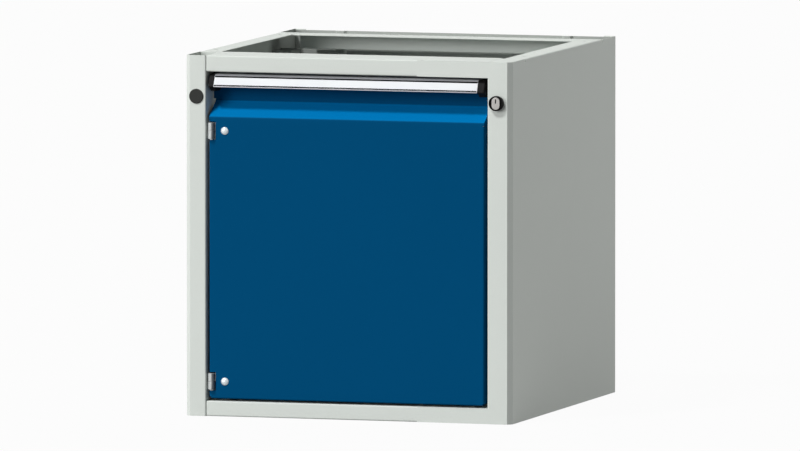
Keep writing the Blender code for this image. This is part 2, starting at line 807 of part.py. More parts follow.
handle_outline = [
    (handle_rear, rear_wall_bottom),
    (handle_rear, handle_top),
    (handle_brow + 2 * HANDLE_WALL, handle_top, 2 * HANDLE_WALL),
    on_face(1),
    on_face(1 - LABEL_LIP),
    on_face(1 - LABEL_LIP, LABEL_CHANNEL),
    on_face(LABEL_LIP, LABEL_CHANNEL),
    on_face(LABEL_LIP),
    on_face(0),
    (handle_front, handle_bottom, HANDLE_WALL / 2),
    (handle_front + HANDLE_LIP, handle_bottom),
    (handle_front + HANDLE_LIP, lip_z),
    on_face(0, HANDLE_WALL),
    on_face(1, HANDLE_WALL),
    (handle_brow + 2.5 * HANDLE_WALL, handle_top - HANDLE_WALL, HANDLE_WALL),
    (handle_rear - HANDLE_REAR_WALL, handle_top - HANDLE_WALL),
    (handle_rear - HANDLE_REAR_WALL, rear_wall_bottom),
]
handle = add(
    "handle_profile",
    prism(outline(handle_outline), "X", handle_left + GAP, handle_right - GAP),
    ALUMINIUM,
    door_axis,
)
handle_bores = [
    prism(circle((x, screw_z), SCREW_RADIUS + GAP), "Y", handle_rear - 2 * HANDLE_REAR_WALL, recess_front)
    for x in screw_places.values()
]
cut(handle, *handle_bores)

label_back = LABEL_CHANNEL - GAP
label_front = label_back - LABEL_SHEET
label_outline = [
    on_face(LABEL_START, label_back),
    on_face(1 - LABEL_START, label_back),
    on_face(1 - LABEL_START, label_front),
    on_face(LABEL_START, label_front),
]
label = prism(label_outline, "X", handle_left + LABEL_END_GAP, handle_right - LABEL_END_GAP)
add("label_strip", label, WHITE, door_axis)

cap_bottom = handle_bottom - END_CAP_DROP
cap_outline = [
    (handle_rear, cap_bottom),
    (handle_rear, handle_top),
    (handle_brow + 2 * HANDLE_WALL, handle_top, 2 * HANDLE_WALL),
    on_face(1),
    on_face(0),
    (handle_front, handle_bottom, HANDLE_WALL / 2),
    (handle_front + HANDLE_LIP, handle_bottom),
    (handle_front + 2 * END_CAP_DROP, cap_bottom, HANDLE_WALL),
]
for side, start, end in (("left", door_left, handle_left), ("right", handle_right, door_right)):
    add(f"handle_end_cap_{side}", prism(outline(cap_outline), "X", start, end), BLACK, door_axis)


def headed(head_radius, head_start, head_end, shank_radius, shank_end):
    """Profile of a flat head with a shank that runs on from its far side."""
    return [(0, head_start), (head_radius, head_start), (head_radius, head_end), (shank_radius, head_end),
            (shank_radius, shank_end), (0, shank_end)]


for side, x in screw_places.items():
    head = recess_back + GAP
    shank = handle_rear - HANDLE_REAR_WALL
    profile = headed(SCREW_HEAD_RADIUS, head + SCREW_HEAD_HEIGHT, head, SCREW_RADIUS, shank)
    add(f"handle_screw_{side}", turned(profile, "Y", (x, screw_z), HOLE_SIDES), ZINC, door_axis)


# Lift-off hinges: the lower knuckle on the frame leaf, the upper one on the door leaf
def frame_leaf_plan():
    """The leaf lies on the upright's inner face and wraps round the pin from behind."""
    face = inner_left + GAP
    under = HINGE_RADIUS - HINGE_LEAF
    start = math.pi - math.asin(under / HINGE_RADIUS)
    rear = hinge_y + FRAME_LEAF_LENGTH
    strap = hinge_y + HINGE_RADIUS
    barrel = arc((hinge_x, hinge_y), HINGE_RADIUS, start, math.pi * 2.5, ROUND_SIDES)
    leaf = [(face + HINGE_LEAF, rear), (face, rear), (face, hinge_y + under)]
    return [*leaf, *barrel, (face + HINGE_LEAF, strap)]


def door_leaf_plan():
    """The leaf lies behind the door's front and wraps round the same pin."""
    front = door_back + GAP
    back = front + HINGE_LEAF
    end = hinge_x + DOOR_LEAF_LENGTH
    barrel_end = 2 * math.pi + math.asin((front - hinge_y) / HINGE_RADIUS)
    barrel = arc((hinge_x, hinge_y), HINGE_RADIUS, math.pi / 2, barrel_end, ROUND_SIDES)
    return [(end, front), (end, back), (hinge_x + HINGE_RADIUS, back), *barrel]


def hinge_leaf(name, plan, z, cleared, parent):
    """A leaf of the hinge's full length, cleared where the other leaf's knuckle turns."""
    low, high = z - HINGE_LENGTH / 2, z + HINGE_LENGTH / 2
    leaf = add(name, prism(plan, "Z", low, high), ZINC, parent)
    near = (hinge_x - 2 * knuckle_reach, hinge_y - knuckle_reach)
    far = (hinge_x + knuckle_reach, hinge_y + knuckle_reach)
    bottom, top = (z - GAP / 2, high + GAP) if cleared == "top" else (low - GAP, z + GAP / 2)
    bore = circle((hinge_x, hinge_y), PIN_RADIUS + PIN_CLEARANCE, ROUND_SIDES)
    combine(leaf, prism(rectangle(near, far), "Z", bottom, top), "DIFFERENCE")
    combine(leaf, prism(bore, "Z", low - GAP, high + GAP), "DIFFERENCE")
    return leaf


def dome(radius, height, steps=5):
    """Profile of a domed head from its crown to its rim, the crown at minus its height."""
    ball = (radius**2 + height**2) / (2 * height)
    sweep = math.asin(radius / ball)
    angles = [sweep * step / steps for step in range(steps + 1)]
    return [(ball * math.sin(a), ball - ball * math.cos(a) - height) for a in angles]


for hinge, z in hinge_heights.items():
    hinge_leaf(f"hinge_frame_leaf_{hinge}", frame_leaf_plan(), z, "top", cabinet)
    door_leaf = hinge_leaf(f"hinge_door_leaf_{hinge}", door_leaf_plan(), z, "bottom", door_axis)
    bolt_hole = circle((bolt_x, z), BOLT_RADIUS + GAP)
    leaf_back = door_back + GAP + HINGE_LEAF
    combine(door_leaf, prism(bolt_hole, "Y", door_back, leaf_back + HINGE_LEAF), "DIFFERENCE")

    pin_bottom = z - HINGE_LENGTH / 2 - GAP
    pin_top = z + HINGE_LENGTH / 2
    pin = headed(PIN_HEAD_RADIUS, pin_bottom - PIN_HEAD_HEIGHT, pin_bottom, PIN_RADIUS, pin_top)
    add(f"hinge_pin_{hinge}", turned(pin, "Z", (hinge_x, hinge_y)), ZINC)

    nut_front = leaf_back + GAP
    bolt_end = nut_front + NUT_HEIGHT
    seat = DOOR_SETBACK - GAP
    head = [(radius, seat + height) for radius, height in dome(BOLT_HEAD_RADIUS, BOLT_HEAD_HEIGHT)]
    bolt = [*head, (BOLT_RADIUS, seat), (BOLT_RADIUS, bolt_end), (0, bolt_end)]
    add(f"hinge_bolt_{hinge}", turned(bolt, "Y", (bolt_x, z)), ZINC, door_axis)
    nut = add(
        f"hinge_nut_{hinge}",
        prism(circle((bolt_x, z), NUT_RADIUS, HEX_SIDES), "Y", nut_front, bolt_end),
        ZINC,
        door_axis,
    )
    cut(nut, prism(bolt_hole, "Y", leaf_back, bolt_end + GAP))

for spot, (y, z) in rivet_places().items():
    leaf_face = inner_left + GAP + HINGE_LEAF
    for leaf in ("upper", "lower"):
        if spot.startswith(leaf):
            hole = circle((y, z), RIVET_RADIUS + GAP)
            target = bpy.data.objects[f"hinge_frame_leaf_{leaf}"]
            combine(target, prism(hole, "X", inner_left, leaf_face + GAP), "DIFFERENCE")
    head = leaf_face + GAP
    tail = inner_left - SHEET - GAP
    rivet = [
        (0, tail - RIVET_HEAD_HEIGHT),
        (RIVET_HEAD_RADIUS, tail - RIVET_HEAD_HEIGHT),
        (RIVET_HEAD_RADIUS, tail),
        (RIVET_RADIUS, tail),
        (RIVET_RADIUS, head),
        (RIVET_HEAD_RADIUS, head),
        (RIVET_HEAD_RADIUS, head + RIVET_HEAD_HEIGHT),
        (0, head + RIVET_HEAD_HEIGHT),
    ]
    add(f"hinge_rivet_{spot}", turned(rivet, "X", (y, z), HOLE_SIDES), ZINC)

# Blanking plug in the left upright
stem_radius = LOCK_HOLE_RADIUS - GAP
plug = [
    (0, -GAP - PLUG_HEAD),
    (COLLAR_RADIUS - COLLAR_ROUND, -GAP - PLUG_HEAD),
    (COLLAR_RADIUS, -GAP - PLUG_HEAD + COLLAR_ROUND),
    (COLLAR_RADIUS, -GAP),
    (stem_radius, -GAP),
    (stem_radius, PLUG_STEM),
    (0, PLUG_STEM),
]
add("blanking_plug", turned(plug, "Y", (plug_x, lock_z)), BLACK)

# Lock: collar and barrel, nut, turning core with its oval face, cranked cam and screw
face_floor = COLLAR_RECESS - LOCK_PROUD
bore_radius = CORE_RADIUS + GAP
recess_radius = COLLAR_RADIUS - COLLAR_RIM
housing = [
    (recess_radius, -LOCK_PROUD),
    (COLLAR_RADIUS - COLLAR_ROUND, -LOCK_PROUD),
    (COLLAR_RADIUS, COLLAR_ROUND - LOCK_PROUD),
    (COLLAR_RADIUS, -GAP),
    (stem_radius, -GAP),
    (stem_radius, LOCK_BODY),
    (bore_radius, LOCK_BODY),
    (bore_radius, face_floor),
    (recess_radius, face_floor),
]
add("lock_housing", turned(housing, "Y", (lock_x, lock_z)), BLACK)

nut_front = SHEET + GAP
nut_back = nut_front + LOCK_NUT_HEIGHT
lock_nut = add(
    "lock_nut",
    prism(circle((lock_x, lock_z), LOCK_NUT_RADIUS, HEX_SIDES), "Y", nut_front, nut_back),
    ZINC,
)
nut_bore = circle((lock_x, lock_z), LOCK_HOLE_RADIUS, ROUND_SIDES)
cut(lock_nut, prism(nut_bore, "Y", SHEET, nut_back + GAP))

face_front = FACE_INSET - LOCK_PROUD
face_back = face_floor - GAP
face_half_height = recess_radius - GAP
face_corner = FACE_WIDTH / 2
oval = [
    (lock_x + across_sign * face_corner, lock_z + up_sign * face_half_height, face_corner * 0.98)
    for across_sign, up_sign in ((-1, -1), (1, -1), (1, 1), (-1, 1))
]
core = add("lock_core", prism(outline(oval, ROUND_SIDES // 4), "Y", face_front, face_back), NICKEL, lock_axis)
shaft_start = (face_front + face_back) / 2
shaft = turned(
    [(0, shaft_start), (CORE_RADIUS, shaft_start), (CORE_RADIUS, LOCK_BODY), (0, LOCK_BODY)],
    "Y",
    (lock_x, lock_z),
)
combine(core, shaft, "UNION")
tang_start = LOCK_BODY - TANG
tang = prism(circle((lock_x, lock_z), TANG / math.sqrt(2), 4), "Y", tang_start, hub_back)
combine(core, tang, "UNION")
keyhole = rectangle(
    (lock_x - KEYHOLE_WIDTH / 2, lock_z + KEYHOLE_RISE - KEYHOLE_HEIGHT / 2),
    (lock_x + KEYHOLE_WIDTH / 2, lock_z + KEYHOLE_RISE + KEYHOLE_HEIGHT / 2),
)
screw_bore = circle((lock_x, lock_z), SCREW_RADIUS + GAP)
cut(
    core,
    prism(keyhole, "Y", -2 * LOCK_PROUD, face_front + KEYHOLE_DEPTH),
    prism(screw_bore, "Y", tang_start - GAP, hub_back + GAP),
)

crank_end = lock_x - inner_right - SHEET
cam_path = [
    (hub_back, lock_z + CAM_HUB),
    (hub_back, lock_z - CAM_HUB),
    (cam_back, lock_z - crank_end),
    (cam_back, lock_z - cam_length),
]
cam = add(
    "lock_cam",
    prism(strip(cam_path, CAM_SHEET, CAM_SHEET + BEND), "X", lock_x - CAM_WIDTH / 2, lock_x + CAM_WIDTH / 2),
    ZINC,
    lock_axis,
)
tang_hole = circle((lock_x, lock_z), TANG / math.sqrt(2) + 2 * GAP, 4)
cut(cam, prism(tang_hole, "Y", hub_front - CAM_SHEET, hub_back + GAP))

cam_screw_head = hub_back + GAP
cam_screw = headed(
    TANG,
    cam_screw_head + SCREW_HEAD_HEIGHT,
    cam_screw_head,
    SCREW_RADIUS,
    tang_start,
)
add("cam_screw", turned(cam_screw, "Y", (lock_x, lock_z), HOLE_SIDES), ZINC, lock_axis)

# Keeper on the back of the recess wall: its lip stands behind the locked cam
keeper_leg = lock_x - cam_length - KEEPER_CLEARANCE
keeper_base = recess_back + GAP
keeper_lip = cam_back + KEEPER_CLEARANCE
keeper_path = [
    (door_right - KEEPER_CLEARANCE, keeper_lip),
    (keeper_leg, keeper_lip),
    (keeper_leg, keeper_base),
    (keeper_leg - KEEPER_BASE, keeper_base),
]
keeper_plan = strip(keeper_path, KEEPER_SHEET, BEND)
add(
    "lock_keeper",
    prism(keeper_plan, "Z", lock_z - KEEPER_HEIGHT / 2, lock_z + KEEPER_HEIGHT / 2),
    ZINC,
    door_axis,
)
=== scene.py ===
# %% [markdown]
# # An under-bench cabinet
#
# The cabinet is folded from light grey sheet steel, open on top, with one blue door that hangs on two small
# hinges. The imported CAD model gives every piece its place. This lesson gives the pieces the edges and the
# finishes that the real ones have, and sets up a plain studio round them.

# %% Load the frame
import json
import math

import bpy
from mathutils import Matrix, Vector

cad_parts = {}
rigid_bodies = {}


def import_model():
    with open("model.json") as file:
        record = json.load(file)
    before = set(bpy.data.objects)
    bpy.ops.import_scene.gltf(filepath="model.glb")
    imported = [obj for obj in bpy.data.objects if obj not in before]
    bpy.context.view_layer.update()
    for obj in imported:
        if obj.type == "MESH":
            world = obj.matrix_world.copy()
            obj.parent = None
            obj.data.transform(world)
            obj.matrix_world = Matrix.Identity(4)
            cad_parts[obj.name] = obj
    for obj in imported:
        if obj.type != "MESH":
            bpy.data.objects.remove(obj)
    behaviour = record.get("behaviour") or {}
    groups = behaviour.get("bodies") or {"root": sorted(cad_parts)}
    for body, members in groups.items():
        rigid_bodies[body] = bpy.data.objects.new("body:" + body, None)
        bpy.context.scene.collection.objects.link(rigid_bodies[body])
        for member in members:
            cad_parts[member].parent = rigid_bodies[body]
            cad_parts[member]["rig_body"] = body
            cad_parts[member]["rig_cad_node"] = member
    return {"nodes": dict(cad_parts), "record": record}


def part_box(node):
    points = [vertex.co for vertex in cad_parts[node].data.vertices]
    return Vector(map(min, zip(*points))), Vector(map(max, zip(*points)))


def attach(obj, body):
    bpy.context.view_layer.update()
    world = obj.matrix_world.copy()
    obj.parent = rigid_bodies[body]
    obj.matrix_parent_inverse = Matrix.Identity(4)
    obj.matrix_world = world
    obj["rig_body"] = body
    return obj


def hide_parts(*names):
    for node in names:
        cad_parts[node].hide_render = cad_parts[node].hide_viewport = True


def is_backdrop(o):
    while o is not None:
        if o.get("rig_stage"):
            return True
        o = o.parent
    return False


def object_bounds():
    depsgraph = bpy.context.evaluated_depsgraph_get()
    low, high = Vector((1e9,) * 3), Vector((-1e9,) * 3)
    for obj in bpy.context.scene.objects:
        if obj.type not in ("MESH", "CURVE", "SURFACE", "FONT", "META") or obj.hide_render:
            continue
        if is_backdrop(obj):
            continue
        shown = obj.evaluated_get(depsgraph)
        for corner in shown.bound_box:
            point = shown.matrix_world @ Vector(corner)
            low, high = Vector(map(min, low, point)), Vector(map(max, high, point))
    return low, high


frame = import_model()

cad_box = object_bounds()
MM = 1000
BODY_OF = {
    node: body
    for body, members in frame["record"]["behaviour"]["bodies"].items()
    for node in members
}
SLOT_OF = {part["node"]: part["material_slot"] for part in frame["record"]["subparts"]}
print("nodes in the frame:", len(frame["nodes"]))

# %% [markdown]
# ## Camera
#
# The picture of the cabinet is taken from far away, so lines that are parallel on the cabinet stay parallel.
# A very long lens at a great distance does the same. The camera stands a little to the right of the front and
# a little above it, and looks at a point near the middle of the cabinet.


# %% Camera
def direction(azimuth, elevation):
    """The way from the cabinet to a place so many degrees to the right of the front and up."""
    azimuth = math.radians(azimuth)
    elevation = math.radians(elevation)
    return Vector((
        math.sin(azimuth) * math.cos(elevation),
        -math.cos(azimuth) * math.cos(elevation),
        math.sin(elevation),
    ))


AZIMUTH = 16.976
ELEVATION = 4.849
LENS_MM = 900
DISTANCE = 32.813
CLIP_END = 100
AIM = Vector((-0.00324, 0.004, 0.29353))

towards_camera = direction(AZIMUTH, ELEVATION)
bpy.ops.object.camera_add(location=AIM + towards_camera * DISTANCE)
camera = bpy.context.object
camera.rotation_euler = towards_camera.to_track_quat("Z", "Y").to_euler()
camera.data.lens = LENS_MM
camera.data.clip_end = CLIP_END
bpy.context.scene.camera = camera
print("camera stands at", [round(x, 2) for x in camera.location])

# %% [markdown]
# ## Shader maths
#
# A finish is a small network of nodes. It could be drawn by hand in the shader editor. Written as Python
# expressions, its maths can be read like a formula: a Wire stands for a socket, and adding or multiplying
# wires adds the Math nodes. Every other node comes from one method, which sets the node's own choices first
# and then feeds its sockets.


# %% Wires and networks
class Wire:
    """A node's output that takes part in Python arithmetic."""

    def __init__(self, network, socket):
        self.network = network
        self.socket = socket

    def maths(self, operation, first, second):
        return self.network.node("Math", {"operation": operation}, {0: first, 1: second})

    def __add__(self, other):
        return self.maths("ADD", self, other)

    def __radd__(self, other):
        return self.maths("ADD", other, self)

    def __sub__(self, other):
        return self.maths("SUBTRACT", self, other)

    def __rsub__(self, other):
        return self.maths("SUBTRACT", other, self)

    def __mul__(self, other):
        return self.maths("MULTIPLY", self, other)

    def __rmul__(self, other):
        return self.maths("MULTIPLY", other, self)


class Network:
    """The nodes of a finish or of the world."""

    def __init__(self, tree):
        self.tree = tree

    def feed(self, socket, value):
        if isinstance(value, Wire):
            self.tree.links.new(value.socket, socket)
        else:
            socket.default_value = value

    def node(self, kind, settings=None, sockets=None, out=0):
        made = self.tree.nodes.new("ShaderNode" + kind)
        for name, value in (settings or {}).items():
            setattr(made, name, value)
        for name, value in (sockets or {}).items():
            self.feed(made.inputs[name], value)
        return Wire(self, made.outputs[out])

    def in_sight(self):
        """1 for a ray from the camera, a mirror or glass, 0 for one that only brings light."""
        seen = self.node("LightPath", out="Is Camera Ray")
        for other in ("Is Glossy Ray", "Is Transmission Ray"):
            seen = seen.maths("MAXIMUM", seen, self.node("LightPath", out=other))
        return seen


print("defined", Wire.__name__, "and", Network.__name__)

# %% Finishes
NOISE_MIDDLE = 0.5


class Finish(Network):
    """A material with its nodes, and the Principled shader that they feed."""

    def __init__(self, name):
        self.material = bpy.data.materials.new(name)
        self.material.use_nodes = True
        super().__init__(self.material.node_tree)
        self.shader = self.tree.nodes["Principled BSDF"]

    def set(self, **sockets):
        for name, value in sockets.items():
            self.feed(self.shader.inputs[name.replace("_", " ")], value)

    def noise(self, scale, detail=2, stretch=(1, 1, 1)):
        """Noise around zero, in blobs of about 1 / scale metres."""
        spot = self.node("TexCoord", out="Object")
        spot = self.node("Mapping", {}, {"Vector": spot, "Scale": stretch})
        noise = self.node("TexNoise", {}, {"Vector": spot, "Scale": scale, "Detail": detail})
        return noise - NOISE_MIDDLE

    def along(self, axis):
        """Where the surface lies along an axis of the piece, in metres."""
        return self.node("SeparateXYZ", {}, {"Vector": self.node("TexCoord", out="Object")}, out=axis)

    def facing(self, axis):
        """How far the surface faces along an axis of the piece, from -1 to 1."""
        return self.node("SeparateXYZ", {}, {"Vector": self.node("TexCoord", out="Normal")}, out=axis)

    def between(self, value, low, high):
        """0 below the low value, 1 above the high one."""
        limits = {"Value": value, "From Min": low, "From Max": high}
        return self.node("MapRange", {"interpolation_type": "SMOOTHSTEP"}, limits)

    def mixed(self, share, first, second):
        """The first colour where the share is 0, the second where it is 1."""
        return self.node("MixRGB", {}, {"Fac": share, "Color1": (*first, 1), "Color2": (*second, 1)})

    def tinted(self, colour, shade):
        """The colour, made lighter or darker by a wire."""
        return self.node("VectorMath", {"operation": "SCALE"}, {0: colour, "Scale": shade})

    def bump(self, height, depth):
        return self.node("Bump", {}, {"Strength": 1.0, "Distance": depth, "Height": height})


def plain(colour):
    """A colour that is the same on all sides of a piece."""
    return lambda finish: colour


print("defined", Finish.__name__, "and", plain.__name__)

# %% [markdown]
# ## Powder coat
#
# Powder coat is sprayed on dry and melted in an oven. It leaves a fine orange-peel surface, with a sheen that
# drifts a little across a large panel. Two sizes of noise give both: a fine one for the peel, a broad one for
# the drift. The same recipe serves the grey housing and the blue door.

# %% Grey powder coat
PEEL_SCALE = 700
PEEL_DEPTH = 0.00008
PEEL_TINT = 0.05
PEEL_ROUGHNESS = 0.1
DRIFT_SCALE = 5
DRIFT_DETAIL = 3
DRIFT_TINT = 0.05
DRIFT_ROUGHNESS = 0.12


def powder_coat(name, colour, roughness, specular):
    """colour is a function that takes the finish and returns the colour before it is tinted."""
    coat = Finish(name)
    peel = coat.noise(PEEL_SCALE)
    drift = coat.noise(DRIFT_SCALE, DRIFT_DETAIL)
    coat.set(
        Base_Color=coat.tinted(colour(coat), 1 + drift * DRIFT_TINT + peel * PEEL_TINT),
        Roughness=roughness + drift * DRIFT_ROUGHNESS + peel * PEEL_ROUGHNESS,
        Specular_IOR_Level=specular,
        Normal=coat.bump(peel, PEEL_DEPTH),
    )
    return coat.material


LIGHT_GREY = (0.63, 0.665, 0.63)
GREY_SHEEN = {"roughness": 0.65, "specular": 0.05}
grey_coat = powder_coat("light_grey_powder_coat", plain(LIGHT_GREY), **GREY_SHEEN)
print("made", grey_coat.name)

# %% [markdown]
# ## Inside of the housing
#
# The inside looks darker than the outside, on the back panel and towards the rear of the left wall, and the
# right wall is given the same. That darkness is painted shade: a darker grey stands in for the shade that
# falls inside the housing. A second material for half of a sheet's faces would do. Here the painted shade
# follows the way that the surface faces and how far back it lies, which needs no choice of faces. The rear
# posts have the painted shade grey all over.

# %% Painted shade inside the housing
# The darker grey below is painted shade, for the shade that falls inside the housing.
SHADE_GREY = (0.36, 0.38, 0.36)
INWARD_FROM = 0.35
INWARD_FULL = 0.75
REAR_FROM = 0.14
REAR_FULL = 0.19


def painted_shade_inside(axis, sign):
    """Painted shade grey at the rear of the side that faces along an axis, or against it if sign is -1."""
    def colour(coat):
        inside = coat.between(coat.facing(axis) * sign, INWARD_FROM, INWARD_FULL)
        rear = coat.between(coat.along("Y"), REAR_FROM, REAR_FULL)
        return coat.mixed(inside * rear, LIGHT_GREY, SHADE_GREY)
    return colour


rear_painted_shade = powder_coat("grey_painted_shade_to_front", painted_shade_inside("Y", -1), **GREY_SHEEN)
left_painted_shade = powder_coat("grey_painted_shade_to_right", painted_shade_inside("X", 1), **GREY_SHEEN)
right_painted_shade = powder_coat("grey_painted_shade_to_left", painted_shade_inside("X", -1), **GREY_SHEEN)
painted_shade_coat = powder_coat("grey_painted_shade_all_over", plain(SHADE_GREY), **GREY_SHEEN)
print("made", ", ".join(made.name for made in (rear_painted_shade, left_painted_shade, right_painted_shade, painted_shade_coat)))

# %% [markdown]
# ## The door's blue
#
# The blue looks deep on the upright front and clearly lighter on the ramp under the handle, by more than soft
# studio light makes it. The lighter ramp blue is painted light: it stands in for the stronger light on the
# upward face. It follows the way that the surface faces, and it stays on the ramp when the door swings.

# %% Blue powder coat with painted ramp light
DEEP_BLUE = (0.0, 0.063, 0.165)
# The lighter blue on the ramp is painted light.
LIT_RAMP_BLUE = (0.0, 0.162, 0.422)
UPWARD_FROM = 0.35
UPWARD_FULL = 0.75


def door_blue_and_ramp_light(coat):
    ramp = coat.between(coat.facing("Z"), UPWARD_FROM, UPWARD_FULL)
    return coat.mixed(ramp, DEEP_BLUE, LIT_RAMP_BLUE)


blue_coat_and_ramp_light = powder_coat("blue_powder_coat_and_painted_ramp_light", door_blue_and_ramp_light, roughness=0.5, specular=0.01)
print("made", blue_coat_and_ramp_light.name)

# %% [markdown]
# ## Metals and plastics
#
# The grip is drawn through a die, so its fine scratches run along it. Zinc plating is matt and cloudy. The
# hinges are darker on the side that looks to the door, which is painted shade for the shaded side of the
# knuckle, while the bolts are bright. The lock's nickel face is brushed, and the moulded plastics have a fine
# even grain. One recipe with a fine noise and a broad one covers the metals, and a simpler one the plastics.

# %% Metals
GRAIN_SCALE = 900
GRAIN_DETAIL = 3
GRAIN_TINT = 0.15
GRAIN_ROUGHNESS = 0.2
GRAIN_DEPTH = 0.00004
CLOUD_SCALE = 60
CLOUD_DETAIL = 3
CLOUD_TINT = 0.15
CLOUD_ROUGHNESS = 0.1


def metal(name, colour, roughness, metallic, stretch=(1, 1, 1)):
    """colour is a function that takes the finish and returns the colour before it is tinted."""
    finish = Finish(name)
    grain = finish.noise(GRAIN_SCALE, GRAIN_DETAIL, stretch)
    cloud = finish.noise(CLOUD_SCALE, CLOUD_DETAIL)
    finish.set(
        Base_Color=finish.tinted(colour(finish), 1 + grain * GRAIN_TINT + cloud * CLOUD_TINT),
        Roughness=roughness + grain * GRAIN_ROUGHNESS + cloud * CLOUD_ROUGHNESS,
        Metallic=metallic,
        Normal=finish.bump(grain, GRAIN_DEPTH),
    )
    return finish.material


ALUMINIUM = (0.56, 0.57, 0.60)
FRESH_ZINC = (0.44, 0.46, 0.46)
# The darkest zinc tone is painted shade, for the knuckle's shaded side.
ZINC_PAINTED_SHADE = (0.06, 0.075, 0.09)
BRIGHT_ZINC = (0.74, 0.79, 0.81)
NICKEL = (0.30, 0.29, 0.28)
ALONG_X = (0.01, 1, 1)
SHADE_FROM = 0.0
SHADE_FULL = 0.6


# The hinge colour is painted shade: darker on the side that faces the door, where the knuckle lies in shade.
def hinge_zinc_and_shade(finish):
    shaded_side = finish.between(finish.facing("X"), SHADE_FROM, SHADE_FULL)
    return finish.mixed(shaded_side, FRESH_ZINC, ZINC_PAINTED_SHADE)


aluminium = metal(
    "bright_anodised_aluminium",
    plain(ALUMINIUM),
    roughness=0.35,
    metallic=0.35,
    stretch=ALONG_X,
)
zinc = metal("zinc_plated_steel", plain(FRESH_ZINC), roughness=0.4, metallic=0.25)
hinge_plate_and_shade = metal("zinc_plate_and_painted_shade", hinge_zinc_and_shade, roughness=0.4, metallic=0.25)
bright_zinc = metal("bright_zinc_plate", plain(BRIGHT_ZINC), roughness=0.25, metallic=0.25)
nickel = metal("satin_nickel", plain(NICKEL), roughness=0.35, metallic=1.0)
print("metals:", ", ".join(made.name for made in (aluminium, zinc, hinge_plate_and_shade, bright_zinc, nickel)))

# %% Plastics
MOULD_SCALE = 1500
MOULD_TINT = 0.15
MOULD_ROUGHNESS = 0.2
MOULD_DEPTH = 0.00005
PIGMENT_SCALE = 40
PIGMENT_TINT = 0.05


def plastic(name, colour, roughness, specular):
    finish = Finish(name)
    mould = finish.noise(MOULD_SCALE)
    pigment = finish.noise(PIGMENT_SCALE)
    finish.set(
        Base_Color=finish.tinted(colour, 1 + mould * MOULD_TINT + pigment * PIGMENT_TINT),
        Roughness=roughness + mould * MOULD_ROUGHNESS,
        Specular_IOR_Level=specular,
        Normal=finish.bump(mould, MOULD_DEPTH),
    )
    return finish.material


black = plastic("black_plastic", (0.008, 0.008, 0.008), roughness=0.5, specular=0.05)
# The matt black below is painted shade, for the dark lines beside the label and in the lock's slit.
painted_shade_black = plastic("black_painted_shade", (0.004, 0.004, 0.005), roughness=0.9, specular=0.0)
plug_black = plastic("worn_black_plastic", (0.029, 0.030, 0.028), roughness=0.6, specular=0.1)
white = plastic("white_label_plastic", (0.68, 0.70, 0.72), roughness=0.4, specular=0.2)
print("plastics:", ", ".join(made.name for made in (black, painted_shade_black, plug_black, white)))

# %% [markdown]
# ## A finish for each piece
#
# The record names a material slot for every CAD node. A finish could be given to each node by name. Most
# pieces simply take the finish of their slot here, which is shorter, and only the few that look different
# from the rest of their slot are named.

# %% Finishes by slot and by node
FINISH_OF_SLOT = {
    "light_grey_paint": grey_coat,
    "blue_paint": blue_coat_and_ramp_light,
    "anodised_aluminium": aluminium,
    "white_plastic": white,
    "black_plastic": black,
    "zinc_plated_steel": zinc,
    "nickel_face": nickel,
}
FINISH_OF_NODE = {
    # The inner faces at the rear and the rear posts carry painted shade.
    "back_panel": rear_painted_shade,
    "left_side_panel": left_painted_shade,
    "right_side_panel": right_painted_shade,
    "rear_left_post": painted_shade_coat,
    "rear_right_post": painted_shade_coat,
    "blanking_plug": plug_black,
}
for end in ("upper", "lower"):
    FINISH_OF_NODE[f"hinge_bolt_{end}"] = bright_zinc
    FINISH_OF_NODE[f"hinge_frame_leaf_{end}"] = hinge_plate_and_shade
    FINISH_OF_NODE[f"hinge_door_leaf_{end}"] = hinge_plate_and_shade
print("finishes:", len(FINISH_OF_SLOT), "by slot,", len(FINISH_OF_NODE), "nodes by name")

# %% [markdown]
# ## Soft edges
#
# No sheet has a razor edge: paint runs thin over it and rounds it, and a stamped or moulded piece is rounder
# still. A CAD node is a heap of loose triangles, so each piece starts as a copy of its node whose points are
# merged and whose flat triangles are joined to whole faces. A small bevel then rounds the sharp edges, and
# weighted normals keep the large faces flat while the bends between them stay smooth.

# %% Copies with whole faces
MERGE = 0.00001
FLAT = math.radians(0.5)


def only(piece):
    """Select this piece and nothing else."""
    bpy.ops.object.select_all(action="DESELECT")
    piece.select_set(True)
    bpy.context.view_layer.objects.active = piece


def merged_copy(node):
    """A copy of a CAD node with whole faces, which stands for the node and moves with its body."""
    only(frame["nodes"][node])
    bpy.ops.object.duplicate()
    piece = bpy.context.object
    piece.name = node + "_finished"
    # The copy is a piece of its own, so it drops the marks that make its node a CAD node.
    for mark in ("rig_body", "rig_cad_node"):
        if mark in piece:
            del piece[mark]
    bpy.ops.object.mode_set(mode="EDIT")
    bpy.ops.mesh.select_all(action="SELECT")
    bpy.ops.mesh.remove_doubles(threshold=MERGE)
    bpy.ops.mesh.dissolve_limited(angle_limit=FLAT)
    # The bevel loses some faces that have many corners, so the whole faces become tidy triangles.
    bpy.ops.mesh.quads_convert_to_tris(ngon_method="BEAUTY")
    bpy.ops.object.mode_set(mode="OBJECT")
    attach(piece, BODY_OF[node])
    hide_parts(node)
    piece.data.materials.clear()
    piece.data.materials.append(FINISH_OF_NODE.get(node, FINISH_OF_SLOT[SLOT_OF[node]]))
    return piece


copies = {node: merged_copy(node) for node in sorted(frame["nodes"])}
print("copied", len(copies), "nodes")

# %% Soft edges
SHARP = math.radians(38)
EDGE_SEGMENTS = 2
EDGE_OF_SLOT = {
    "light_grey_paint": 0.00025,
    "blue_paint": 0.00025,
    "anodised_aluminium": 0.0002,
    "white_plastic": 0.0001,
    "black_plastic": 0.0006,
    "zinc_plated_steel": 0.00025,
    "nickel_face": 0.0004,
}


